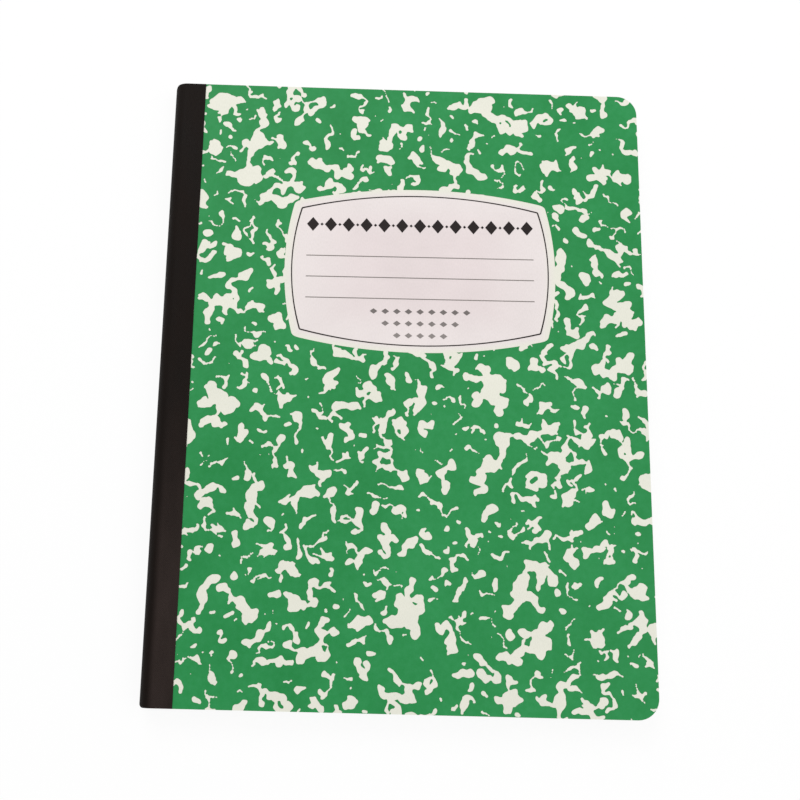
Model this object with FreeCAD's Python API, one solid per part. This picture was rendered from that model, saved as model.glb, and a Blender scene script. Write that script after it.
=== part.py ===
import FreeCAD, Part
import math
import os
import random

from FreeCAD import Vector

# Closed notebook, lying on its back cover, in millimetres.
# X runs from the spine to the fore-edge, Y from the tail to the head, Z through the thickness.
# The origin is the middle of the footprint, on the surface that the notebook lies on.
book_width = 190.5
book_height = 247.65
corner_radius = 8.0
spine_corner_radius = 1.8

# Leaves and the layers of each cover
leaf_count = 100
leaf_thickness = 0.077
liner_thickness = 0.10
board_thickness = 0.70
cover_paper_thickness = 0.12
tape_thickness = 0.25
print_thickness = 0.05
cover_gap = 0.10

# Glue in the rounded spine and the cloth tape around it
spine_glue = 0.30
tape_flap_width = 7.6
hinge_clearance = 0.3

# Thread sewn through the fold
thread_diameter = 0.5
thread_plies = 6
thread_clearance = 0.05
thread_bite = 0.15
stitch_pitch = 12.5
stitch_end_margin = 11.0

# Ruling of the first and the last page
rule_pitch = 7.14
rule_width = 0.3
rule_head_margin = 30.0
rule_tail_margin = 11.0
margin_line_offset = 31.75
margin_line_width = 0.35

# Label field left white in the printed pattern, turned a little, and the lines printed on it
label_width = 107.9
label_height = 68.0
label_side_bow = 3.7
label_end_bow = 5.9
label_corner_radius = 2.0
label_centre_from_head = 77.8
label_turn_angle = 0.45
frame_inset = 2.6
frame_line_width = 0.45
frame_corner_radius = 0.8
print_side_gap = 5.95
writing_line_width = 0.35
writing_line_pitch = 8.7
writing_line_count = 3
top_writing_line_rise = 5.3
band_drop = 15.5
band_lozenge_length = 4.9
band_lozenge_width = 5.9
band_dot_size = 1.3
band_count = 13
foot_rise = 16.7
foot_lozenge_length = 3.0
foot_lozenge_width = 2.2
foot_pitch = 4.6
foot_row_pitch = 4.9
foot_counts = (9, 7, 5)

# Marbled print: white blotches left open in a green field
blotch_points = 8
blotch_reach = 13.0
blotch_smallest_ratio = 0.4
blotch_shortest_arm_ratio = 0.3
blotch_stretch_ratio = 1.45
blotch_angle_scatter = 0.25
blotch_place_scatter = 0.3
front_blotch_pitch = 20.6
back_blotch_pitch = 26.5
front_seed = 11
back_seed = 29

# Places that follow from the sizes
page_thickness = leaf_count * leaf_thickness
cover_stack = liner_thickness + board_thickness + cover_paper_thickness
book_thickness = page_thickness + 2 * (cover_gap + cover_stack + tape_thickness)
mid_height = book_thickness / 2
spine_x = -book_width / 2
fore_edge_x = book_width / 2
head_y = book_height / 2
hinge_x = spine_x + mid_height
tape_edge_x = hinge_x + tape_flap_width
page_top = mid_height + page_thickness / 2
liner_bottom = page_top + cover_gap
board_bottom = liner_bottom + liner_thickness
paper_bottom = board_bottom + board_thickness
paper_top = paper_bottom + cover_paper_thickness
label_x = (tape_edge_x + fore_edge_x) / 2
label_y = head_y - label_centre_from_head
fold_x = spine_x + tape_thickness + spine_glue
line_length = label_width - 2 * (frame_inset + print_side_gap)
band_y = label_height / 2 - band_drop
band_pitch = (line_length - band_lozenge_length) / (band_count - 1)
foot_y = foot_rise - label_height / 2

# Places closer than this are the same place
same_place = 1e-6


def block(x0, x1, y0, y1, z0, z1):
    """Box between two corners."""
    return Part.makeBox(x1 - x0, y1 - y0, z1 - z0, Vector(x0, y0, z0))


def solids_of(shape):
    """One solid by itself, or a compound of separate solids."""
    if len(shape.Solids) == 1:
        return shape.Solids[0]
    return Part.makeCompound(shape.Solids)


def is_upright(edge):
    """True for an edge that runs through the thickness."""
    ends = [v.Point for v in edge.Vertexes]
    return abs(ends[0].z - ends[-1].z) > same_place


def corner_edges(solid, x):
    """Upright edges of a solid at one place across the notebook."""
    return [e for e in solid.Edges if is_upright(e) and abs(e.CenterOfMass.x - x) < same_place]


def trimmed(shape):
    """The piece after all layers are cut together, with the four corners rounded."""
    knife = block(spine_x, fore_edge_x, -head_y, head_y, 0, book_thickness)
    knife = knife.makeFillet(corner_radius, corner_edges(knife, fore_edge_x))
    knife = knife.makeFillet(spine_corner_radius, corner_edges(knife, spine_x))
    return solids_of(shape.common(knife))


def to_back(shape):
    """The same layer on the back cover."""
    return solids_of(shape.mirror(Vector(0, 0, mid_height), Vector(0, 0, 1)))


def cover_layer(x0, z0, thickness):
    """One layer of the front cover, from x0 to the fore-edge."""
    return trimmed(block(x0, fore_edge_x, -head_y, head_y, z0, z0 + thickness))


def along_spine(wire):
    """Solid made by running a cross-section from the tail to the head."""
    section = Part.Face(wire)
    section.translate(Vector(0, -head_y, 0))
    return section.extrude(Vector(0, book_height, 0))


def half_circle(x, radius):
    """Half circle towards the spine about a point of the middle height, from top to bottom."""
    upper = Vector(x, 0, mid_height + radius)
    crown = Vector(x - radius, 0, mid_height)
    lower = Vector(x, 0, mid_height - radius)
    return Part.Arc(upper, crown, lower).toShape()


def outer_spine_arc():
    """Outside of the tape, level with both covers at the hinge lines."""
    return half_circle(hinge_x, mid_height)


def inner_spine_arc():
    """Inside of the tape."""
    return half_circle(hinge_x, mid_height - tape_thickness)


def fold_line():
    """Outermost leaf, from one hinge line round the fold to the other."""
    fold = half_circle(fold_x + page_thickness / 2, page_thickness / 2)
    upper, lower = fold.Vertexes[0].Point, fold.Vertexes[-1].Point
    upper_run = Part.makeLine(Vector(hinge_x, 0, upper.z), upper)
    lower_run = Part.makeLine(lower, Vector(hinge_x, 0, lower.z))
    return Part.Wire([upper_run, fold, lower_run])


def closed_between(outer, inner):
    """Closed outline of two lines round the spine, joined by straight ends."""
    joins = []
    for end in (0, -1):
        joins.append(Part.makeLine(inner.OrderedVertexes[end].Point, outer.Vertexes[end].Point))
    return Part.Wire([joins[0], outer, joins[1]] + inner.Edges[::-1])


def rod(start, end, radius):
    """Straight stretch of thread, level or across the spine, with as many sides as it has plies."""
    axis = end - start
    up = Vector(0, 0, 1)
    across = axis.cross(up).normalize()
    corners = []
    for i in range(thread_plies):
        angle = 2 * math.pi * i / thread_plies
        corners.append(start + up * (radius * math.cos(angle)) + across * (radius * math.sin(angle)))
    return Part.Face(Part.makePolygon(corners + corners[:1])).extrude(axis)


def stitch_places():
    """Where the needle went through the fold, evenly spaced and centred."""
    span = book_height - 2 * stitch_end_margin
    count = int(span // stitch_pitch)
    first = -count * stitch_pitch / 2
    return [first + i * stitch_pitch for i in range(count + 1)]


def stitch_runs():
    """Ends of each straight stretch of thread: outside the fold, in the centre spread, and through."""
    places = stitch_places()
    outside = fold_x + thread_bite
    inside = fold_x + page_thickness / 2
    ends = thread_diameter / 2
    runs = []
    for x in (outside, inside):
        start = Vector(x, places[0] - ends, mid_height)
        runs.append((start, Vector(x, places[-1] + ends, mid_height)))
    for y in places:
        runs.append((Vector(outside, y, mid_height), Vector(inside, y, mid_height)))
    return runs


def make_thread():
    """Thread of all the stitches, pulled tight."""
    rods = [rod(start, end, thread_diameter / 2) for start, end in stitch_runs()]
    return solids_of(rods[0].fuse(rods[1:]).removeSplitter())


def needle_way():
    """Square groove, slits and tunnel that the sewing pressed and pierced for its thread."""
    half = thread_diameter / 2 + thread_clearance
    room = [block(a.x - half, b.x + half, a.y - half, b.y + half, a.z - half, b.z + half)
            for a, b in stitch_runs()]
    return room[0].fuse(room[1:]).removeSplitter()


def make_page_block():
    """All leaves, folded in one gathering, with the needle holes through the fold."""
    nose = fold_line()
    upper = nose.OrderedVertexes[0].Point
    lower = nose.OrderedVertexes[-1].Point
    far_lower = Vector(fore_edge_x, 0, lower.z)
    far_upper = Vector(fore_edge_x, 0, upper.z)
    sides = Part.makePolygon([lower, far_lower, far_upper, upper])
    leaves = trimmed(along_spine(Part.Wire(nose.Edges + sides.Edges)))
    return solids_of(leaves.cut(needle_way()))


def make_spine_adhesive():
    """Glue between the fold and the tape, squeezed thin over the crown."""
    glue = trimmed(along_spine(closed_between(inner_spine_arc(), fold_line())))
    return solids_of(glue.cut(needle_way()))


def make_spine_tape():
    """Part of the tape that goes round the spine, between the two hinge lines."""
    return trimmed(along_spine(closed_between(outer_spine_arc(), Part.Wire(inner_spine_arc()))))


def make_ruling():
    """Writing lines of the first page."""
    lines = []
    y = head_y - rule_head_margin
    while y > rule_tail_margin - head_y:
        lines.append(block(hinge_x, fore_edge_x, y - rule_width / 2, y + rule_width / 2,
                           page_top, page_top + print_thickness))
        y -= rule_pitch
    return Part.makeCompound(lines)


def make_margin_line(x, rules):
    """Upright margin line, broken where the writing lines cross it."""
    line = block(x - margin_line_width / 2, x + margin_line_width / 2, -head_y, head_y,
                 page_top, page_top + print_thickness)
    return solids_of(line.cut(rules))


def on_label(x, y):
    """Point of the cover paper's face, given from the label's centre along its turned axes."""
    turn = math.radians(label_turn_angle)
    return Vector(label_x + x * math.cos(turn) - y * math.sin(turn),
                  label_y + x * math.sin(turn) + y * math.cos(turn), paper_top)


def barrel(inset):
    """Outline of the label: four bowed sides that meet in points."""
    half_width = label_width / 2 - inset
    half_height = label_height / 2 - inset
    side_x = half_width - label_side_bow
    side_y = half_height - label_end_bow
    corners = [(side_x, side_y), (-side_x, side_y), (-side_x, -side_y), (side_x, -side_y)]
    crowns = [(0, half_height), (-half_width, 0), (0, -half_height), (half_width, 0)]
    edges = []
    for i in range(4):
        start = on_label(*corners[i])
        crown = on_label(*crowns[i])
        end = on_label(*corners[(i + 1) % 4])
        edges.append(Part.Arc(start, crown, end).toShape())
    return Part.Wire(edges)


def rounded_barrel(inset, radius):
    """Face of the label's outline with its four points rounded."""
    slab = Part.Face(barrel(inset)).extrude(Vector(0, 0, print_thickness))
    slab = slab.makeFillet(radius, [e for e in slab.Edges if is_upright(e)])
    return [f for f in slab.Faces if abs(f.CenterOfMass.z - paper_top) < same_place][0]


def printed(faces):
    """Ink film raised from flat faces."""
    lift = Vector(0, 0, print_thickness)
    return solids_of(Part.makeCompound([f.extrude(lift) for f in faces]))


def bar(x, y, length, width):
    """Straight printed rule on the label, centred on a point."""
    half = length / 2
    rise = width / 2
    ends = [(-half, -rise), (half, -rise), (half, rise), (-half, rise), (-half, -rise)]
    return Part.Face(Part.makePolygon([on_label(x + dx, y + dy) for dx, dy in ends]))


def lozenge(x, y, length, width):
    """Printed lozenge on the label, centred on a point."""
    half = length / 2
    rise = width / 2
    ends = [(-half, 0), (0, -rise), (half, 0), (0, rise), (-half, 0)]
    return Part.Face(Part.makePolygon([on_label(x + dx, y + dy) for dx, dy in ends]))


def make_label_frame():
    """Thin line that follows the label's outline."""
    outside = rounded_barrel(frame_inset, frame_corner_radius)
    inside = rounded_barrel(frame_inset + frame_line_width, frame_corner_radius - frame_line_width)
    return printed(outside.cut(inside).Faces)


def make_writing_lines():
    """Lines for the owner's name and subject."""
    heights = [top_writing_line_rise - i * writing_line_pitch for i in range(writing_line_count)]
    return printed([bar(0, y, line_length, writing_line_width) for y in heights])


def lozenge_row(y, count, pitch, length, width):
    """Evenly spaced lozenges, centred on the label."""
    first = -(count - 1) * pitch / 2
    return [lozenge(first + i * pitch, y, length, width) for i in range(count)]


def make_label_ornament():
    """Band of lozenges and dots above the writing lines, and a tailpiece of small lozenges."""
    faces = lozenge_row(band_y, band_count, band_pitch, band_lozenge_length, band_lozenge_width)
    faces += lozenge_row(band_y, band_count - 1, band_pitch, band_dot_size, band_dot_size)
    for row, count in enumerate(foot_counts):
        y = foot_y - row * foot_row_pitch
        faces += lozenge_row(y, count, foot_pitch, foot_lozenge_length, foot_lozenge_width)
    return printed(faces)


def blotch(chance, x, y):
    """One white blotch with arms of uneven length, stretched in a direction of its own."""
    turn = chance.uniform(0, math.pi)
    size = blotch_reach * chance.uniform(blotch_smallest_ratio, 1)
    points = []
    for i in range(blotch_points):
        scatter = chance.uniform(-blotch_angle_scatter, blotch_angle_scatter)
        angle = (i + scatter) * 2 * math.pi / blotch_points
        arm = size * chance.uniform(blotch_shortest_arm_ratio, 1)
        along = arm * math.cos(angle) * blotch_stretch_ratio
        across = arm * math.sin(angle) / blotch_stretch_ratio
        points.append(Vector(x + along * math.cos(turn) - across * math.sin(turn),
                             y + along * math.sin(turn) + across * math.cos(turn), paper_top))
    return Part.Face(Part.makePolygon(points + points[:1]))


def blotches(seed, pitch):
    """Blotches scattered over the printed field, one about each place of a staggered grid."""
    chance = random.Random(seed)
    scatter = blotch_place_scatter * pitch
    columns = int((fore_edge_x - tape_edge_x) // pitch) + 2
    rows = int(book_height // pitch) + 2
    found = []
    for row in range(rows):
        for column in range(columns):
            x = tape_edge_x + (column + (row % 2) / 2) * pitch + chance.uniform(-scatter, scatter)
            y = row * pitch - head_y + chance.uniform(-scatter, scatter)
            found.append(blotch(chance, x, y))
    return found


def make_marbling(seed, pitch, openings):
    """Green field from the tape to the fore-edge, open at its blotches and at the label."""
    field = cover_layer(tape_edge_x, paper_top, print_thickness)
    flat = [f for f in field.Faces if abs(f.CenterOfMass.z - paper_top) < same_place]
    left = flat[0].cut(Part.makeCompound(blotches(seed, pitch) + openings))
    return printed(left.Faces)


def make_tape_flap():
    """Part of the spine tape that is glued down on the front cover."""
    return block(hinge_x, tape_edge_x, -head_y, head_y, paper_top, paper_top + tape_thickness)


def make_parts():
    """All pieces of the notebook by name."""
    board_x = hinge_x + hinge_clearance
    board = cover_layer(board_x, board_bottom, board_thickness)
    paper = cover_layer(board_x, paper_bottom, cover_paper_thickness)
    liner = cover_layer(board_x, liner_bottom, liner_thickness)
    flap = make_tape_flap()
    rules = make_ruling()
    first_margin = make_margin_line(spine_x + margin_line_offset, rules)
    last_margin = make_margin_line(fore_edge_x - margin_line_offset, rules)
    label_field = rounded_barrel(0, label_corner_radius)
    return {
        "page_block": make_page_block(),
        "sewing_thread": make_thread(),
        "spine_adhesive": make_spine_adhesive(),
        "spine_tape": make_spine_tape(),
        "first_page_rules": trimmed(rules),
        "first_page_margin_line": trimmed(first_margin),
        "last_page_rules": to_back(trimmed(rules)),
        "last_page_margin_line": to_back(trimmed(last_margin)),
        "front_board": board,
        "front_cover_paper": paper,
        "front_liner": liner,
        "front_tape_flap": flap,
        "front_marbling": make_marbling(front_seed, front_blotch_pitch, [label_field]),
        "label_frame": make_label_frame(),
        "label_writing_lines": make_writing_lines(),
        "label_ornament": make_label_ornament(),
        "back_board": to_back(board),
        "back_cover_paper": to_back(paper),
        "back_liner": to_back(liner),
        "back_tape_flap": to_back(flap),
        "back_marbling": to_back(make_marbling(back_seed, back_blotch_pitch, [])),
    }


os.makedirs("parts", exist_ok=True)
for name, shape in make_parts().items():
    shape.exportStep("parts/" + name + ".step")
    print(name, len(shape.Solids), "solids", round(shape.Volume, 2), "mm3", shape.isValid())
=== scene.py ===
import math

import bpy
import numpy as np
from mathutils import Matrix, Vector, geometry


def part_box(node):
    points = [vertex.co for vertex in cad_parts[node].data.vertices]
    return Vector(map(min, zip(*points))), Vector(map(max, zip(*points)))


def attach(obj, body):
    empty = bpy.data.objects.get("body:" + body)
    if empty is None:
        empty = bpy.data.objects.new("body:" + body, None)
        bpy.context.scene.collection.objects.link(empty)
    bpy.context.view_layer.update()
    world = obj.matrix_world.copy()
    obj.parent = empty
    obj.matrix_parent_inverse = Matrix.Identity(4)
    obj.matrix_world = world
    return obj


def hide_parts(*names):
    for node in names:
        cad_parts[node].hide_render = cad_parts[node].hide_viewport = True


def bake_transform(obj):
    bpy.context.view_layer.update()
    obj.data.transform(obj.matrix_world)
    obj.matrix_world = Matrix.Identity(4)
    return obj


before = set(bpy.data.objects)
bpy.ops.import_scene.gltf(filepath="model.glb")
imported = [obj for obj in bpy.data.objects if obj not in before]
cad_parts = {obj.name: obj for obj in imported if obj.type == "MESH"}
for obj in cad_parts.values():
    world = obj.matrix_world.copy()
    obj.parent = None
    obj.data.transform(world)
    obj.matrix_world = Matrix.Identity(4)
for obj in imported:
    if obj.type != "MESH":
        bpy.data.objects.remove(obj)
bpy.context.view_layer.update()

MM = 0.001

# Camera, with its places in millimetres from the middle of the notebook's back
camera_place = (-32.19, -87.31, 394.85)
camera_aim = (-28.2, -7.02, 10.0)
camera_up = (-0.0279, 0.9786, 0.2039)
camera_lens = 45.72
camera_sensor = 36.0
camera_shift = (0.0876, -0.0023)
camera_nearest = 0.01

# Light and floor, lengths in metres
surroundings_strength = 0.55
floor_reach = 6.0
floor_tone = (0.92, 0.92, 0.92, 1)
floor_clearance = 0.05 * MM
floor_fade_start = 0.16
floor_fade_end = 0.6
floor_white_share = 0.9

# Notebook sizes
corner_radius = 8.0 * MM
spine_corner_radius = 1.8 * MM
leaf_count = 100
label_inset = 2.6 * MM
label_side_bow = 3.7 * MM
label_end_bow = 5.9 * MM
label_corner_reach = 1.3 * MM
label_turn = math.radians(0.45)
weave_pitch = 0.42 * MM

# Shares of the way from the label's middle to its outline where its tint changes
tint_pales_from = 0.35
tint_palest_at = 0.9
tint_ends_at = 1.02

# Range that most values of a noise lie in
noise_low = 0.3
noise_high = 0.7

# Distance in metres below which two places count as one
same_place = 1e-7


def low_high(node):
    """Lowest and highest corner of a piece of the frame."""
    low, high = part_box(node)
    return Vector(low), Vector(high)


block_low, block_high = low_high("page_block")
tape_low, tape_high = low_high("spine_tape")
flap_low, flap_high = low_high("front_tape_flap")
frame_low, frame_high = low_high("label_frame")
front_print_z = low_high("front_marbling")[1].z
back_print_z = low_high("back_marbling")[0].z
ornament_low_y = low_high("label_ornament")[0].y
spine_x = tape_low.x
hinge_x = tape_high.x
tape_edge_x = flap_high.x
fore_edge_x = block_high.x
head_y = block_high.y
mid_z = (tape_low.z + tape_high.z) / 2
half_thickness = (tape_high.z - tape_low.z) / 2
tape_thickness = flap_high.z - flap_low.z
fold_x = block_low.x
page_half = (block_high.z - block_low.z) / 2
label_centre = (frame_low + frame_high) / 2
label_half = (frame_high - frame_low) / 2 + Vector((label_inset, label_inset, 0))
floor_level = -low_high("back_liner")[1].z - floor_clearance
# Where the cloth tape's painted sheen starts and is full: lighter brown towards the tail, on the flat
# side past the spine's rounding
sheen_start_y = head_y * 0.1
sheen_full_y = -head_y * 0.75
sheen_start_x = hinge_x - 2.4 * MM
sheen_full_x = hinge_x + 0.6 * MM


# Node helpers for the materials

def node(tree, kind, **values):
    """Node of a kind, with its sockets or properties set by name."""
    made = tree.nodes.new(kind)
    for key, value in values.items():
        if key in made.inputs:
            made.inputs[key].default_value = value
        else:
            setattr(made, key, value)
    return made


def empty_tree(owner):
    """Node tree of a material or a world, with nothing in it yet."""
    owner.use_nodes = True
    owner.node_tree.nodes.clear()
    return owner.node_tree


def new_material(name):
    """Material with only its shader and output, joined."""
    mat = bpy.data.materials.new(name)
    tree = empty_tree(mat)
    shader = node(tree, "ShaderNodeBsdfPrincipled")
    out = node(tree, "ShaderNodeOutputMaterial")
    tree.links.new(shader.outputs["BSDF"], out.inputs["Surface"])
    return mat, tree, shader


def linear(red, green, blue):
    """Linear colour of three 0 to 255 display values."""
    parts = []
    for value in (red, green, blue):
        share = value / 255
        parts.append(share / 12.92 if share <= 0.04045 else ((share + 0.055) / 1.055) ** 2.4)
    return (*parts, 1.0)


def put(tree, value, socket):
    """Join a varying value to a socket, or set a plain number there."""
    if isinstance(value, bpy.types.NodeSocket):
        tree.links.new(value, socket)
    else:
        socket.default_value = value


def calc(tree, operation, *terms):
    """Result of a calculation with varying values and plain numbers."""
    made = node(tree, "ShaderNodeMath", operation=operation)
    for term, socket in zip(terms, made.inputs):
        put(tree, term, socket)
    return made.outputs["Value"]


def mapped(tree, value, start, end, low=0.0, high=1.0, easing="LINEAR"):
    """Number that runs from low to high while a value runs from start to end."""
    made = node(tree, "ShaderNodeMapRange", interpolation_type=easing)
    tree.links.new(value, made.inputs["Value"])
    for name, number in (("From Min", start), ("From Max", end), ("To Min", low), ("To Max", high)):
        made.inputs[name].default_value = number
    return made.outputs["Result"]


def eased(tree, value, start, end):
    """Number that runs smoothly from 0 at one value to 1 at another."""
    return mapped(tree, value, start, end, easing="SMOOTHSTEP")


def spread(tree, value, low, high):
    """Number that runs from low to high with a noise."""
    return mapped(tree, value, noise_low, noise_high, low, high)


def place(tree, stretch=(1, 1, 1)):
    """Object coordinates in metres, stretched along each axis."""
    coords = node(tree, "ShaderNodeTexCoord")
    mapping = node(tree, "ShaderNodeMapping", Scale=stretch)
    tree.links.new(coords.outputs["Object"], mapping.inputs["Vector"])
    return mapping.outputs["Vector"]


def object_axes(tree):
    """Object coordinates in metres, by axis."""
    coords = node(tree, "ShaderNodeTexCoord")
    parts = node(tree, "ShaderNodeSeparateXYZ")
    tree.links.new(coords.outputs["Object"], parts.inputs["Vector"])
    return parts.outputs


def noise(tree, vector, scale, detail=3.0, roughness=0.5):
    """Value of a noise of so many features in a metre."""
    made = node(tree, "ShaderNodeTexNoise", Scale=scale, Detail=detail, Roughness=roughness)
    tree.links.new(vector, made.inputs["Vector"])
    return made.outputs["Fac"]


def shades(tree, value, low, high, start=noise_low, end=noise_high):
    """Colour that runs from one shade to another with a value."""
    ramp = node(tree, "ShaderNodeValToRGB")
    for stop, position, colour in zip(ramp.color_ramp.elements, (start, end), (low, high)):
        stop.position = position
        stop.color = colour
    tree.links.new(value, ramp.inputs["Fac"])
    return ramp.outputs["Color"]


def toned(tree, colour, value, darkest, lightest=(1, 1, 1), share=1.0):
    """Colour that is multiplied, by a share, with a tone that runs with a value."""
    made = node(tree, "ShaderNodeMix", data_type="RGBA", blend_type="MULTIPLY")
    made.inputs["Factor"].default_value = share
    tree.links.new(colour, made.inputs["A"])
    tree.links.new(shades(tree, value, (*darkest, 1), (*lightest, 1)), made.inputs["B"])
    return made.outputs["Result"]


def blend_of(tree, share, first, second):
    """Colour that goes from the first to the second with a share."""
    made = node(tree, "ShaderNodeMix", data_type="RGBA")
    tree.links.new(share, made.inputs["Factor"])
    tree.links.new(first, made.inputs["A"])
    tree.links.new(second, made.inputs["B"])
    return made.outputs["Result"]


def mixed_shader(tree, share, first, second):
    """Shader that goes from the first to the second with a share."""
    mix = node(tree, "ShaderNodeMixShader")
    tree.links.new(share, mix.inputs["Fac"])
    tree.links.new(first.outputs[0], mix.inputs[1])
    tree.links.new(second.outputs[0], mix.inputs[2])
    return mix.outputs["Shader"]


def surface(tree, shader, colour, roughness, height, depth, specular=0.5):
    """Colour, roughness, gloss and relief of a material, the relief so many metres deep."""
    tree.links.new(colour, shader.inputs["Base Color"])
    put(tree, roughness, shader.inputs["Roughness"])
    shader.inputs["Specular IOR Level"].default_value = specular
    bump = node(tree, "ShaderNodeBump", Strength=1.0, Distance=depth)
    tree.links.new(height, bump.inputs["Height"])
    tree.links.new(bump.outputs["Normal"], shader.inputs["Normal"])


# Materials

def label_reach(tree):
    """0 at the label's middle and 1 at its bowed outline."""
    coords = node(tree, "ShaderNodeTexCoord")
    own = node(tree, "ShaderNodeMapping", vector_type="TEXTURE")
    own.inputs["Location"].default_value = label_centre
    own.inputs["Scale"].default_value = (label_half.x, label_half.y, 1)
    tree.links.new(coords.outputs["Object"], own.inputs["Vector"])
    size = node(tree, "ShaderNodeVectorMath", operation="ABSOLUTE")
    tree.links.new(own.outputs["Vector"], size.inputs[0])
    parts = node(tree, "ShaderNodeSeparateXYZ")
    tree.links.new(size.outputs["Vector"], parts.inputs["Vector"])
    x, y = parts.outputs["X"], parts.outputs["Y"]
    side_bow = label_side_bow / label_half.x
    end_bow = label_end_bow / label_half.y
    side_share = side_bow / (1 - end_bow) ** 2
    end_share = end_bow / (1 - side_bow) ** 2
    across = calc(tree, "MULTIPLY_ADD", calc(tree, "MULTIPLY", y, y), side_share, x)
    up = calc(tree, "MULTIPLY_ADD", calc(tree, "MULTIPLY", x, x), end_share, y)
    return calc(tree, "MAXIMUM", across, up)


def cover_paper(name, labelled):
    """White cover stock: fine fibres, creamy, and on the label a faint rose that pales to its edge."""
    mat, tree, shader = new_material(name)
    cloud = noise(tree, place(tree), 60, 3)
    fibres = noise(tree, place(tree, (1, 0.35, 1)), 2600, 4, 0.6)
    colour = shades(tree, cloud, linear(223, 223, 210), linear(229, 228, 215))
    if labelled:
        reach = label_reach(tree)
        middle = shades(tree, cloud, linear(220, 208, 208), linear(225, 213, 213))
        rim = shades(tree, cloud, linear(225, 216, 215), linear(230, 221, 220))
        rose = blend_of(tree, eased(tree, reach, tint_pales_from, tint_palest_at), middle, rim)
        colour = blend_of(tree, eased(tree, reach, tint_ends_at, tint_palest_at), colour, rose)
    colour = toned(tree, colour, fibres, (0.93, 0.93, 0.92))
    surface(tree, shader, colour, spread(tree, cloud, 0.52, 0.6), fibres, 0.012 * MM, 0.35)
    return mat


def green_ink():
    """Green print: density clouds, a slight mottle of the ink and the paper's grain."""
    mat, tree, shader = new_material("green_ink")
    cloud = noise(tree, place(tree), 45, 2)
    mottle = noise(tree, place(tree), 420, 3, 0.6)
    grain = noise(tree, place(tree), 2400, 4, 0.65)
    colour = shades(tree, cloud, linear(32, 131, 69), linear(42, 141, 79))
    colour = toned(tree, colour, mottle, (0.72, 0.94, 0.84), (1.12, 1.02, 1.06))
    colour = toned(tree, colour, grain, (0.86, 0.9, 0.86))
    surface(tree, shader, colour, spread(tree, grain, 0.5, 0.6), grain, 0.012 * MM, 0.2)
    return mat


def line_ink(name, low, high):
    """Line print, a little uneven where the paper's grain shows through."""
    mat, tree, shader = new_material(name)
    grain = noise(tree, place(tree), 2200, 4, 0.6)
    colour = shades(tree, grain, low, high)
    surface(tree, shader, colour, spread(tree, grain, 0.5, 0.65), grain, 0.008 * MM, 0.15)
    return mat


def fading_ink(name, dark, pale, dark_y, pale_y):
    """Line print that pales from one height on the cover to another, with the paper's grain in it."""
    mat, tree, shader = new_material(name)
    colour = shades(tree, mapped(tree, object_axes(tree)["Y"], dark_y, pale_y), dark, pale, 0, 1)
    grain = noise(tree, place(tree), 2200, 4, 0.6)
    colour = toned(tree, colour, grain, (0.7, 0.7, 0.7))
    surface(tree, shader, colour, 0.6, grain, 0.008 * MM, 0.15)
    return mat


def page_paper():
    """Writing paper: off-white leaves, each edge a little lighter or darker than the next."""
    mat, tree, shader = new_material("page_paper")
    strata = noise(tree, place(tree, (0.0004, 0.0004, 1)), 9000, 2, 0.6)
    cloud = noise(tree, place(tree, (1, 1, 0.01)), 25, 2)
    fibres = noise(tree, place(tree, (1, 0.4, 1)), 2500, 4, 0.6)
    colour = shades(tree, cloud, linear(243, 240, 232), linear(245, 242, 235))
    colour = toned(tree, colour, strata, (0.82, 0.81, 0.79), share=0.8)
    surface(tree, shader, colour, 0.8, calc(tree, "ADD", fibres, strata), 0.012 * MM, 0.2)
    return mat


def liner_paper():
    """Lining paper inside the covers, uncoated and slightly warmer than the cover."""
    mat, tree, shader = new_material("liner_paper")
    cloud = noise(tree, place(tree), 30, 2)
    fibres = noise(tree, place(tree, (0.4, 1, 1)), 2300, 4, 0.6)
    colour = shades(tree, cloud, linear(237, 232, 223), linear(240, 235, 226))
    colour = toned(tree, colour, fibres, (0.94, 0.94, 0.93))
    surface(tree, shader, colour, 0.75, fibres, 0.015 * MM)
    return mat


def pressed_board():
    """Grey pulp board, with specks and the layers that its cut edge shows."""
    mat, tree, shader = new_material("pressed_board")
    strata = noise(tree, place(tree, (0.05, 0.05, 1)), 8000, 2, 0.6)
    specks = noise(tree, place(tree), 1500, 5, 0.7)
    colour = shades(tree, specks, linear(150, 142, 131), linear(196, 189, 178), 0.35, 0.62)
    colour = toned(tree, colour, strata, (0.75, 0.74, 0.72), share=0.9)
    surface(tree, shader, colour, 0.85, calc(tree, "ADD", specks, strata), 0.03 * MM)
    return mat


def woven_height(tree, pitch):
    """Height of a plain weave: warp and weft waves in a checker."""
    axes = object_axes(tree)
    warp, weft = (calc(tree, "SINE", calc(tree, "MULTIPLY", axes[axis], math.pi / pitch))
                  for axis in ("X", "Y"))
    return calc(tree, "MULTIPLY", warp, weft)


def book_cloth():
    """Black book cloth: fine filled weave, matte, with a painted brown sheen on its flat side towards
    the tail.
    """
    mat, tree, shader = new_material("book_cloth")
    cloud = noise(tree, place(tree, (1, 0.3, 1)), 120, 4)
    grain = noise(tree, place(tree), 3000, 3, 0.6)
    plain_cloth = shades(tree, cloud, linear(13, 7, 4), linear(20, 12, 8))
    # Lighter brown of the painted sheen: a highlight painted into the cloth's colour
    painted_sheen = shades(tree, cloud, linear(36, 28, 25), linear(48, 39, 36))
    axes = object_axes(tree)
    # The painted sheen grows towards the tail and shows only past the spine's rounding
    towards_tail = eased(tree, axes["Y"], sheen_start_y, sheen_full_y)
    past_spine = eased(tree, axes["X"], sheen_start_x, sheen_full_x)
    colour = blend_of(tree, calc(tree, "MULTIPLY", towards_tail, past_spine), plain_cloth, painted_sheen)
    colour = toned(tree, colour, grain, (0.7, 0.7, 0.7), share=0.8)
    height = calc(tree, "MULTIPLY_ADD", grain, 0.6, woven_height(tree, weave_pitch))
    surface(tree, shader, colour, spread(tree, cloud, 0.5, 0.6), height, 0.03 * MM, 0.07)
    return mat


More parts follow.
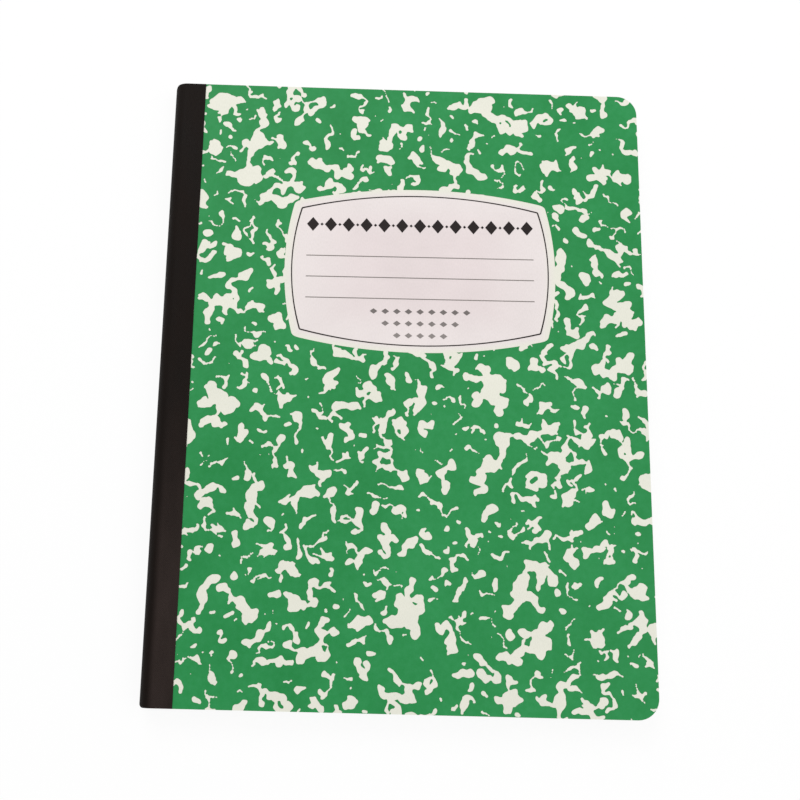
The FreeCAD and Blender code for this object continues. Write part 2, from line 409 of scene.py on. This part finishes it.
def dried_glue():
    """Amber animal glue, slightly glossy."""
    mat, tree, shader = new_material("dried_glue")
    cloud = noise(tree, place(tree), 900, 3)
    colour = shades(tree, cloud, linear(196, 178, 138), linear(216, 202, 168))
    surface(tree, shader, colour, spread(tree, cloud, 0.3, 0.5), cloud, 0.03 * MM)
    return mat


def cotton_thread():
    """White twisted cotton."""
    mat, tree, shader = new_material("cotton_thread")
    twist = noise(tree, place(tree), 4000, 3)
    colour = shades(tree, twist, linear(206, 202, 190), linear(240, 237, 228))
    surface(tree, shader, colour, 0.8, twist, 0.05 * MM)
    return mat


# Mesh helpers

def new_piece(name, vertices, faces, material):
    """Object of a mesh, with one material."""
    mesh = bpy.data.meshes.new(name)
    mesh.from_pydata([tuple(v) for v in vertices], [], faces)
    mesh.materials.append(material)
    mesh.validate()
    mesh.update()
    piece = bpy.data.objects.new(name, mesh)
    bpy.context.scene.collection.objects.link(piece)
    return piece


def smooth(piece, crease):
    """Smooth shading up to a crease of so many degrees."""
    piece.data.shade_smooth()
    piece.data.set_sharp_from_angle(angle=math.radians(crease))


def shaded(node_name, material):
    """Give a piece of the frame a material."""
    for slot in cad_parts[node_name].material_slots:
        slot.link = "OBJECT"
        slot.material = material


# Marbled print

class Lattice:
    """Smooth gradient noise on a seeded square lattice."""

    size = 256

    def __init__(self, chance):
        angle = chance.uniform(0, 2 * math.pi, (self.size, self.size))
        self.gx = np.cos(angle)
        self.gy = np.sin(angle)

    def corner(self, ix, iy, dx, dy):
        """Slope of one lattice point, taken at an offset."""
        column = ix % self.size
        row = iy % self.size
        return self.gx[column, row] * dx + self.gy[column, row] * dy

    def at(self, x, y, cell):
        """Noise at places, with lattice points one cell apart."""
        x = x / cell
        y = y / cell
        ix = np.floor(x).astype(int)
        iy = np.floor(y).astype(int)
        fx = x - ix
        fy = y - iy
        u = fx ** 3 * (fx * (fx * 6 - 15) + 10)
        v = fy ** 3 * (fy * (fy * 6 - 15) + 10)
        near = self.corner(ix, iy, fx, fy) * (1 - u) + self.corner(ix + 1, iy, fx - 1, fy) * u
        far = (self.corner(ix, iy + 1, fx, fy - 1) * (1 - u)
               + self.corner(ix + 1, iy + 1, fx - 1, fy - 1) * u)
        return near * (1 - v) + far * v


# Lengths in millimetres on the cover, each stroke a row of circles a millimetre apart
grid_step = 0.4
clusters = {"count": 42, "length": (16, 30), "fork": 0.18, "radius": (0.65, 1.15), "room": 5.0}
arms = {"count": 385, "length": (6, 17), "fork": 0.14, "radius": (0.42, 0.85), "room": 2.2}
pills = {"count": 160, "length": (2, 5), "fork": 0.0, "radius": (0.5, 0.8), "room": 1.1}
dots = {"count": 90, "length": (1, 1.5), "fork": 0.0, "radius": (0.35, 0.5), "room": 0.5}
stroke_gap = 0.75
stroke_swell = 0.33
stroke_bend = 0.65
swell_memory = 0.75
thinnest = 0.46
thickest = 1.6
fork_turn = (0.9, 1.7)
fork_shortest = 3
fork_share = 0.5
start_tries = 40
merge_chance = 0.28
merge_sharpness = 3.5
circle_reach = 5.0
shape_warp = ((3.1, 1.05), (1.4, 0.2))
edge_roughness = 0.15
edge_roughness_cell = 2.4
white_level = 0.15
smallest_spot = 0.15
empty_field = 1e-9
crossing_margin = 0.02
grid_margin = 0.001


class Claims:
    """Which stroke holds each spot of the cover, so that the strokes keep clear of each other."""

    margin = 25

    def __init__(self, width, height):
        self.holder = np.zeros((int(width / grid_step) + 2 * self.margin,
                                int(height / grid_step) + 2 * self.margin), int)

    def cell(self, value):
        """Row or column of a place."""
        return max(int(value / grid_step) + self.margin, 0)

    def at(self, x, y):
        """Stroke that holds a place, or 0."""
        i = min(self.cell(x), self.holder.shape[0] - 1)
        j = min(self.cell(y), self.holder.shape[1] - 1)
        return self.holder[i, j]

    def free(self, x, y, reach):
        """Whether no stroke holds anything within a reach of a place."""
        return not self.holder[self.cell(x - reach):self.cell(x + reach) + 1,
                               self.cell(y - reach):self.cell(y + reach) + 1].any()

    def take(self, x, y, radius, stroke):
        """Give free spots round a place to a stroke."""
        reach = radius + stroke_gap
        spots = self.holder[self.cell(x - reach):self.cell(x + reach) + 1,
                            self.cell(y - reach):self.cell(y + reach) + 1]
        spots[spots == 0] = stroke


def wander(chance, claims, stroke, kind, x, y):
    """Circles of one stroke, which bends, swells and forks until it meets another."""
    thickness = chance.uniform(*kind["radius"])
    circles = []
    waiting = [(x, y, chance.uniform(0, 2 * math.pi), int(chance.uniform(*kind["length"])))]
    while waiting:
        x, y, heading, length = waiting.pop()
        swell = 0
        for step in range(length):
            if claims.at(x, y) not in (0, stroke) and chance.uniform() > merge_chance:
                break
            swell = swell_memory * swell + chance.normal(0, stroke_swell)
            radius = min(max(thickness * math.exp(swell), thinnest), thickest)
            circles.append((x, y, radius))
            claims.take(x, y, radius, stroke)
            heading += chance.normal(0, stroke_bend)
            x += math.cos(heading)
            y += math.sin(heading)
            if chance.uniform() < kind["fork"]:
                side = chance.choice((-1, 1)) * chance.uniform(*fork_turn)
                longest = max(fork_share * length, fork_shortest + 1)
                waiting.append((x, y, heading + side, int(chance.uniform(fork_shortest, longest))))
    return circles


def strokes(chance, width, height):
    """Circles of all strokes, the largest kind first and the dots last, in the room that is left."""
    claims = Claims(width, height)
    circles = []
    stroke = 0
    for kind in (clusters, arms, pills, dots):
        for k in range(kind["count"]):
            stroke += 1
            for attempt in range(start_tries):
                x = chance.uniform(0, width)
                y = chance.uniform(0, height)
                if claims.free(x, y, kind["room"]):
                    circles += wander(chance, claims, stroke, kind, x, y)
                    break
    return circles


def reach_of(value):
    """Grid lines within a circle's reach of a place."""
    first = int((value - circle_reach) / grid_step)
    last = int((value + circle_reach) / grid_step)
    return slice(max(first, 0), max(last + 1, 0))


def marble_field(seed, columns, rows):
    """Height over a grid on the cover, which passes the white level at the strokes' edges."""
    chance = np.random.default_rng(seed)
    across, up = np.meshgrid(np.arange(columns) * grid_step, np.arange(rows) * grid_step,
                             indexing="ij")
    bent_x = across.copy()
    bent_y = up.copy()
    for cell, share in shape_warp:
        bent_x += share * Lattice(chance).at(across, up, cell)
        bent_y += share * Lattice(chance).at(across, up, cell)
    total = np.full((columns, rows), empty_field)
    for x, y, radius in strokes(chance, columns * grid_step, rows * grid_step):
        near = (reach_of(x), reach_of(y))
        away = np.hypot(bent_x[near] - x, bent_y[near] - y)
        total[near] += np.exp(merge_sharpness * (radius - away))
    rough = edge_roughness * Lattice(chance).at(across, up, edge_roughness_cell)
    return np.log(total) / merge_sharpness + rough


def cell_crossings(values, level):
    """Grid edges that the pieces of the level line run between, cell by cell."""
    high = values > level
    a, b = high[:-1, :-1], high[1:, :-1]
    c, d = high[1:, 1:], high[:-1, 1:]
    kind = a * 1 + b * 2 + c * 4 + d * 8
    joins = {1: "sw", 2: "se", 3: "ew", 4: "en", 5: "se wn", 6: "sn", 7: "wn", 8: "wn", 9: "sn",
             10: "sw en", 11: "en", 12: "ew", 13: "se", 14: "sw"}
    for value, pairs in joins.items():
        for i, j in zip(*np.nonzero(kind == value)):
            for pair in pairs.split():
                yield [edge_key(side, i, j) for side in pair]


def edge_key(side, i, j):
    """Grid edge on one side of a cell: its lower end and the way that it runs."""
    return {"s": (i, j, 0), "n": (i, j + 1, 0), "w": (i, j, 1), "e": (i + 1, j, 1)}[side]


def crossing(values, level, key):
    """Place on a grid edge where the values pass the level."""
    i, j, upright = key
    start = values[i, j]
    end = values[i, j + 1] if upright else values[i + 1, j]
    share = min(max((level - start) / (end - start), crossing_margin), 1 - crossing_margin)
    return (i, j + share) if upright else (i + share, j)


def rounded_outline(x0, x1, y1, radius, steps=10):
    """Outline of the printed field, with its two fore-edge corners rounded."""
    points = [(x0, -y1)]
    for sign in (-1, 1):
        for step in range(steps + 1):
            turn = step / steps * math.pi / 2
            if sign < 0:
                turn = math.pi / 2 - turn
            x = x1 - radius + radius * math.cos(turn)
            y = y1 - radius + radius * math.sin(turn)
            points.append((x, sign * y))
    points.append((x0, y1))
    return points


def label_outline(steps=40):
    """Barrel outline of the label: four bowed sides with their meeting points rounded."""
    corner_x = label_half.x - label_side_bow
    corner_y = label_half.y - label_end_bow
    corners = [(corner_x, corner_y), (-corner_x, corner_y),
               (-corner_x, -corner_y), (corner_x, -corner_y)]
    crowns = [(0, label_half.y), (-label_half.x, 0), (0, -label_half.y), (label_half.x, 0)]
    sides = []
    for k in range(4):
        start = corners[k]
        end = corners[(k + 1) % 4]
        points = arc_points(start, crowns[k], end, steps)
        sides.append([p for p in points
                      if min(math.dist(p, start), math.dist(p, end)) > label_corner_reach])
    outline = []
    for k in range(4):
        after = (k + 1) % 4
        outline += sides[k] + rounded_corner(sides[k][-1], corners[after], sides[after][0])
    turned = Matrix.Rotation(label_turn, 2)
    return [tuple(label_centre.xy + turned @ Vector(p)) for p in outline]


def rounded_corner(before, corner, after, steps=6):
    """Points between two places, bent towards the corner that they replace."""
    points = []
    for step in range(1, steps):
        t = step / steps
        points.append(tuple((1 - t) ** 2 * Vector(before) + 2 * t * (1 - t) * Vector(corner)
                            + t ** 2 * Vector(after)))
    return points


def arc_points(start, crown, end, steps):
    """Points of the round arc through three places, without its last one."""
    chord = math.dist(start, end) / 2
    middle = ((start[0] + end[0]) / 2, (start[1] + end[1]) / 2)
    rise = math.dist(middle, crown)
    radius = (chord ** 2 + rise ** 2) / (2 * rise)
    out = ((crown[0] - middle[0]) / rise, (crown[1] - middle[1]) / rise)
    centre = (crown[0] - out[0] * radius, crown[1] - out[1] * radius)
    first = math.atan2(start[1] - centre[1], start[0] - centre[0])
    turn = 2 * math.asin(chord / radius)
    return [(centre[0] + radius * math.cos(first + turn * step / steps),
             centre[1] + radius * math.sin(first + turn * step / steps)) for step in range(steps)]


def in_polygon(points, outline):
    """Which places lie inside an outline."""
    x, y = points[:, 0], points[:, 1]
    inside = np.zeros(len(points), bool)
    for (x0, y0), (x1, y1) in zip(outline, outline[1:] + outline[:1]):
        spans = (y0 > y) != (y1 > y)
        with np.errstate(divide="ignore", invalid="ignore"):
            inside ^= spans & (x < (x1 - x0) * (y - y0) / (y1 - y0) + x0)
    return inside


def marbled_faces(seed, openings):
    """Triangles of the green field in the plane, in metres."""
    x0, y0 = tape_edge_x / MM, -head_y / MM
    columns = int(math.ceil((fore_edge_x - tape_edge_x) / MM / grid_step)) + 2
    rows = int(math.ceil(2 * head_y / MM / grid_step)) + 2
    values = marble_field(seed, columns, rows)
    outline = rounded_outline(tape_edge_x, fore_edge_x, head_y, corner_radius)
    index = {}
    points = []
    edges = []
    for start, end in cell_crossings(values, white_level):
        for key in (start, end):
            if key not in index:
                i, j = crossing(values, white_level, key)
                index[key] = len(points)
                points.append(((x0 + i * grid_step) * MM, (y0 + j * grid_step) * MM))
        edges.append((index[start], index[end]))
    for ring in [outline] + openings:
        first = len(points)
        points += ring
        edges += [(first + k, first + (k + 1) % len(ring)) for k in range(len(ring))]
    found = geometry.delaunay_2d_cdt([Vector(p) for p in points], edges, [], 0, same_place)
    corners = np.array([tuple(v) for v in found[0]])
    triangles = np.array([tuple(f) for f in found[2]])
    centres = corners[triangles].mean(axis=1)
    keep = in_polygon(centres, outline)
    for ring in openings:
        keep &= ~in_polygon(centres, ring)
    column = (centres[:, 0] / MM - x0) / grid_step
    row = (centres[:, 1] / MM - y0) / grid_step
    keep &= sampled(values, column, row) <= white_level
    inked = triangles[keep]
    return corners, inked[spot_areas(corners, inked) >= smallest_spot * MM ** 2]


def spot_areas(corners, triangles):
    """Area of the joined spot of ink that each triangle is part of."""
    leader = list(range(len(corners)))

    def leader_of(k):
        while leader[k] != k:
            leader[k] = leader[leader[k]]
            k = leader[k]
        return k

    for a, b, c in triangles:
        leader[leader_of(a)] = leader_of(b)
        leader[leader_of(b)] = leader_of(c)
    spots = np.array([leader_of(a) for a in triangles[:, 0]])
    first, second, third = (corners[triangles[:, k]] for k in range(3))
    along = second - first
    beside = third - first
    areas = abs(along[:, 0] * beside[:, 1] - along[:, 1] * beside[:, 0]) / 2
    return np.bincount(spots, weights=areas)[spots]


def sampled(values, i, j):
    """Grid values read between the grid's points."""
    i = np.clip(i, 0, values.shape[0] - 1 - grid_margin)
    j = np.clip(j, 0, values.shape[1] - 1 - grid_margin)
    a = i.astype(int)
    b = j.astype(int)
    u = i - a
    v = j - b
    return ((values[a, b] * (1 - u) + values[a + 1, b] * u) * (1 - v)
            + (values[a, b + 1] * (1 - u) + values[a + 1, b + 1] * u) * v)


def make_print(name, replaced, body, seed, openings, height, face_down, material):
    """Green ink of one cover, laid as a thin sheet on the cover paper."""
    corners, triangles = marbled_faces(seed, openings)
    used = np.unique(triangles)
    lookup = {old: new for new, old in enumerate(used)}
    vertices = [(corners[k][0], corners[k][1], height) for k in used]
    faces = []
    for a, b, c in triangles:
        face = (lookup[a], lookup[b], lookup[c])
        faces.append(face[::-1] if face_down else face)
    piece = new_piece(name, vertices, faces, material)
    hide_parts(replaced)
    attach(piece, body)


# Folded sheets

# Scatter of the trimmed edges in millimetres, crease in degrees
leaf_seed = 5
leaf_fill = 0.86
fore_edge_scatter = 0.12
end_scatter = 0.1
fold_steps = 8
leaf_crease = 30


def fold_profile(depth, layers):
    """Half of a folded sheet's line in X and Z, from the fore-edge to the crown of the fold."""
    half = page_half * (1 - depth / layers)
    fold_centre = fold_x + page_half
    corner_start = fore_edge_x - corner_radius
    turns = [math.pi / 2 * (1 - step / fold_steps) for step in range(fold_steps + 1)]
    flat = [(corner_start + corner_radius * math.sin(turn), half) for turn in turns]
    return flat + [(fold_centre - half * math.cos(turn), half * math.sin(turn)) for turn in turns]


def half_height(x):
    """Half of the notebook's height at a place, less near the rounded corners."""
    corners = ((x - (fore_edge_x - corner_radius), corner_radius),
               (spine_x + spine_corner_radius - x, spine_corner_radius))
    for past, radius in corners:
        if past > 0:
            return head_y - radius + math.sqrt(max(radius ** 2 - past ** 2, 0))
    return head_y


def make_leaves(material):
    """All sheets, nested round the fold, each trimmed a hair short of the next."""
    chance = np.random.default_rng(leaf_seed)
    sheets = leaf_count // 2
    vertices = []
    faces = []
    for sheet in range(sheets):
        outer = fold_profile(sheet, sheets)
        inner = fold_profile(sheet + leaf_fill, sheets)
        short = 0 if sheet == 0 else chance.uniform(0, fore_edge_scatter) * MM
        trim = 0 if sheet == 0 else chance.uniform(0, end_scatter) * MM
        loop = outer + [(x, -z) for x, z in reversed(outer[:-1])]
        inside = inner + [(x, -z) for x, z in reversed(inner[:-1])]
        first = len(vertices)
        for line in (loop, inside):
            for x, z in line:
                y = half_height(x) - trim
                for sign in (-1, 1):
                    vertices.append((min(x, fore_edge_x - short), sign * y, mid_z + z))
        count = len(loop)
        for k in range(count - 1):
            a = first + 2 * k
            b = a + 2 * count
            faces.append((a, a + 2, a + 3, a + 1))
            faces.append((b + 1, b + 3, b + 2, b))
            faces.append((a, b, b + 2, a + 2))
            faces.append((a + 1, a + 3, b + 3, b + 1))
        for k in (0, count - 1):
            a = first + 2 * k
            b = a + 2 * count
            cap = (a, a + 1, b + 1, b)
            faces.append(cap if k == 0 else cap[::-1])
    piece = new_piece("leaves", vertices, faces, material)
    smooth(piece, leaf_crease)
    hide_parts("page_block")
    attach(piece, "book_block")


# Cloth tape

# Wave lengths in millimetres along the tape, crease in degrees
spine_steps = 16
flap_steps = 12
tape_rows = 121
tape_crease = 40
wave_start = 500
wave_spacing = 3.0
wave_length = 14.0
edge_wave = 0.12 * MM
face_wave = 0.03 * MM


def tape_profile(offset):
    """Line of the tape in X and Z, from the middle of the spine to its edge on the cover."""
    radius = half_thickness - offset
    points = []
    for step in range(spine_steps + 1):
        turn = math.pi / 2 * step / spine_steps
        points.append((hinge_x - radius * math.cos(turn), radius * math.sin(turn)))
    for step in range(1, flap_steps + 1):
        points.append((hinge_x + (tape_edge_x - hinge_x) * step / flap_steps, radius))
    return points


def make_tape(name, sign, replaced, material, seed):
    """Half of the cloth tape, from the middle of the spine to one cover."""
    chance = Lattice(np.random.default_rng(seed))
    outer = tape_profile(0)
    inner = tape_profile(tape_thickness)
    loop = outer + inner[::-1]
    count = len(loop)
    vertices = []
    for row in range(tape_rows):
        share = 2 * row / (tape_rows - 1) - 1
        for k, (x, z) in enumerate(loop):
            y = share * half_height(x)
            spot = np.array(y / MM + wave_start)
            wave = float(chance.at(spot, np.array(wave_spacing * k), wave_length))
            if abs(x - tape_edge_x) < same_place:
                x += min(wave, 0) * edge_wave
            elif k < len(outer):
                z -= (0.5 + wave) * face_wave
            vertices.append((x, y, mid_z + sign * z))
    faces = []
    for row in range(tape_rows - 1):
        for k in range(count):
            a = row * count + k
            b = row * count + (k + 1) % count
            quad = (a, b, b + count, a + count)
            faces.append(quad if sign < 0 else quad[::-1])
    half = len(outer)
    for k in range(half - 1):
        for base, flip in ((0, sign > 0), ((tape_rows - 1) * count, sign < 0)):
            quad = (base + k, base + k + 1, base + count - 2 - k, base + count - 1 - k)
            faces.append(quad if flip else quad[::-1])
    piece = new_piece(name, vertices, faces, material)
    smooth(piece, tape_crease)
    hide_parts(*replaced)
    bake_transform(piece)


# Stage, lights and camera

def seen_directly(tree):
    """1 for what the camera, a reflection or a clear body sees, 0 for what only lights the notebook."""
    path = node(tree, "ShaderNodeLightPath").outputs
    mirrored = calc(tree, "MAXIMUM", path["Is Glossy Ray"], path["Is Transmission Ray"])
    return calc(tree, "MAXIMUM", path["Is Camera Ray"], mirrored)


def make_floor():
    """Wide floor, low enough for the folded-back cover, faintly shaded near by and white far off."""
    mat = bpy.data.materials.new("floor_white")
    tree = empty_tree(mat)
    matte = node(tree, "ShaderNodeBsdfDiffuse", Color=floor_tone)
    white = node(tree, "ShaderNodeEmission", Strength=1.0)
    out = node(tree, "ShaderNodeOutputMaterial")
    coords = node(tree, "ShaderNodeTexCoord")
    away = node(tree, "ShaderNodeVectorMath", operation="LENGTH")
    tree.links.new(coords.outputs["Object"], away.inputs[0])
    whiteness = mapped(tree, away.outputs["Value"], floor_fade_start, floor_fade_end,
                       floor_white_share, 1.0)
    share = calc(tree, "MULTIPLY", seen_directly(tree), whiteness)
    tree.links.new(mixed_shader(tree, share, matte, white), out.inputs["Surface"])
    signs = [(-1, -1), (1, -1), (1, 1), (-1, 1)]
    corners = [(x * floor_reach, y * floor_reach, floor_level) for x, y in signs]
    new_piece("floor", corners, [(0, 1, 2, 3)], mat)


def make_world():
    """Even white surroundings, plain white where they are seen."""
    world = bpy.data.worlds.new("studio")
    bpy.context.scene.world = world
    tree = empty_tree(world)
    light = node(tree, "ShaderNodeBackground", Color=(1, 1, 1, 1), Strength=surroundings_strength)
    white = node(tree, "ShaderNodeBackground", Color=(1, 1, 1, 1), Strength=1.0)
    out = node(tree, "ShaderNodeOutputWorld")
    tree.links.new(mixed_shader(tree, seen_directly(tree), light, white), out.inputs["Surface"])


def make_light(name, spot, size, watts):
    """Soft square lamp aimed at the notebook."""
    lamp = bpy.data.lights.new(name, "AREA")
    lamp.size = size
    lamp.energy = watts
    holder = bpy.data.objects.new(name, lamp)
    bpy.context.scene.collection.objects.link(holder)
    holder.location = spot
    holder.rotation_euler = (-Vector(spot)).to_track_quat("-Z", "Y").to_euler()


def make_camera():
    """Camera at the photograph's viewing angle."""
    data = bpy.data.cameras.new("camera")
    data.lens = camera_lens
    data.sensor_width = camera_sensor
    data.shift_x, data.shift_y = camera_shift
    data.clip_start = camera_nearest
    holder = bpy.data.objects.new("camera", data)
    bpy.context.scene.collection.objects.link(holder)
    spot = Vector(camera_place) * MM
    back = (spot - Vector(camera_aim) * MM).normalized()
    right = Vector(camera_up).cross(back).normalized()
    up = back.cross(right)
    turn = Matrix((right, up, back)).transposed().to_4x4()
    holder.matrix_world = Matrix.Translation(spot) @ turn
    bpy.context.scene.camera = holder


make_camera()
make_world()
make_floor()
make_light("key", spot=(-0.35, 0.9, 1.1), size=0.8, watts=10.0)
make_light("fill", spot=(0.9, -0.1, 1.2), size=1.0, watts=6.5)

liner = liner_paper()
board = pressed_board()
cloth = book_cloth()
ink = green_ink()
leaf = page_paper()
black = line_ink("black_ink", linear(20, 15, 14), linear(38, 31, 29))
grey = line_ink("grey_ink", linear(112, 106, 103), linear(132, 126, 122))
blue = line_ink("blue_ruling_ink", linear(140, 180, 214), linear(165, 200, 228))
red = line_ink("red_ruling_ink", linear(216, 120, 128), linear(232, 150, 154))
fading = fading_ink("label_ornament_ink", linear(33, 26, 25), linear(150, 143, 140),
                    label_centre.y, ornament_low_y)

for side in ("front", "back"):
    shaded(side + "_cover_paper", cover_paper(side + "_cover_paper", side == "front"))
    shaded(side + "_board", board)
    shaded(side + "_liner", liner)
shaded("label_frame", black)
shaded("label_ornament", fading)
shaded("label_writing_lines", grey)
for page in ("first_page", "last_page"):
    shaded(page + "_rules", blue)
    shaded(page + "_margin_line", red)
shaded("spine_adhesive", dried_glue())
shaded("sewing_thread", cotton_thread())

make_leaves(leaf)
make_print("front_print", "front_marbling", "front_cover", seed=21, openings=[label_outline()],
           height=front_print_z, face_down=False, material=ink)
make_print("back_print", "back_marbling", "back_cover", seed=34, openings=[],
           height=back_print_z, face_down=True, material=ink)
make_tape("front_tape", 1, ["spine_tape", "front_tape_flap"], cloth, seed=7)
make_tape("back_tape", -1, ["back_tape_flap"], cloth, seed=8)

bpy.context.scene.view_settings.view_transform = "Standard"
